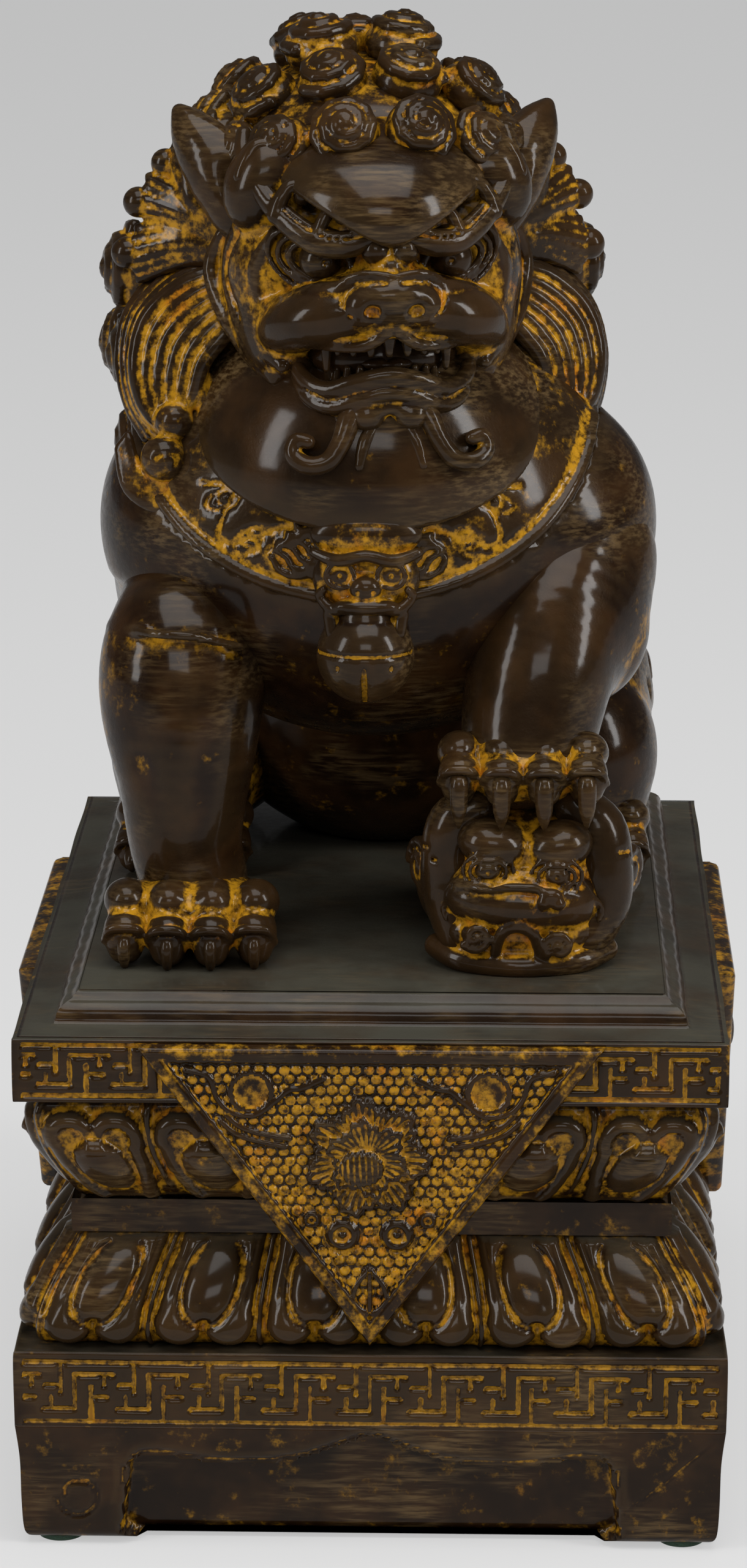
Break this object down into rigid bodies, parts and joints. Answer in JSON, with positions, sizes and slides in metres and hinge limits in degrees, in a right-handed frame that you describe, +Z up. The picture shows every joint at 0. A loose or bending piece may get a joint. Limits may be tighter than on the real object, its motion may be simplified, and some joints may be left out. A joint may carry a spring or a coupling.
{
  "type": "foo dog statue",
  "caption": "Seated guardian lion with a curled mane, collar and bell, resting a forepaw on its cub, on a tall rectangular lotus plinth with fret bands and hanging cloths.",
  "frame": {"origin": "middle of the plinth's underside, where the felt pads rest", "axes": "+Z up, -Y is the way the lion faces, +X is the lion's own left, the side of the cub"},
  "size_m": [0.187, 0.236, 0.3787],
  "materials": {
    "lacquer": "dark brown semi-gloss lacquer over cast resin, brushed",
    "carved_hair": "dark lacquer with amber wash in the carved hair",
    "carved_relief": "dark lacquer with ochre wash in the relief",
    "mouth": "orange wash, glossy",
    "teeth": "dull ochre",
    "eyes": "amber wash",
    "felt": "dark green felt",
    "board": "plain fibreboard",
    "pin": "plain"
  },
  "bodies": {
    "root": {"felt_pads": "felt", "bracket_feet": "carved_relief", "lower_fret_band": "carved_relief", "closing_board": "board", "lower_lotus_course": "carved_relief", "waist_course": "carved_relief", "upper_lotus_course": "carved_relief", "fret_slab": "carved_relief", "platform": "carved_relief", "front_cloth": "carved_relief", "back_cloth": "carved_relief", "left_cloth": "carved_relief", "right_cloth": "carved_relief", "locating_pins": "pin", "torso": "lacquer", "chest_bib": "lacquer", "left_foreleg": "lacquer", "right_foreleg": "lacquer", "left_forepaw": "lacquer", "right_forepaw": "lacquer", "left_fore_claws": "teeth", "right_fore_claws": "teeth", "left_haunch": "lacquer", "right_haunch": "lacquer", "left_hind_paw": "lacquer", "right_hind_paw": "lacquer", "hind_claws": "teeth", "tail": "carved_hair", "cub_head": "lacquer", "cub_body": "lacquer", "cub_paws": "lacquer", "collar": "carved_relief", "collar_mask": "carved_relief", "collar_bell": "lacquer", "skull": "lacquer", "muzzle": "lacquer", "lower_jaw": "lacquer", "tongue": "mouth", "lower_teeth": "teeth", "upper_teeth": "teeth", "eyes": "eyes", "left_brow": "lacquer", "right_brow": "lacquer", "forehead_boss": "lacquer", "left_ear": "lacquer", "right_ear": "lacquer", "crown_cap": "carved_hair", "crown_curls": "carved_hair", "left_mane_fan": "carved_hair", "right_mane_fan": "carved_hair", "left_mane_lock": "carved_hair", "right_mane_lock": "carved_hair", "back_mane": "carved_hair", "left_beard_curl": "carved_hair", "right_beard_curl": "carved_hair"}
  },
  "joints": []
}
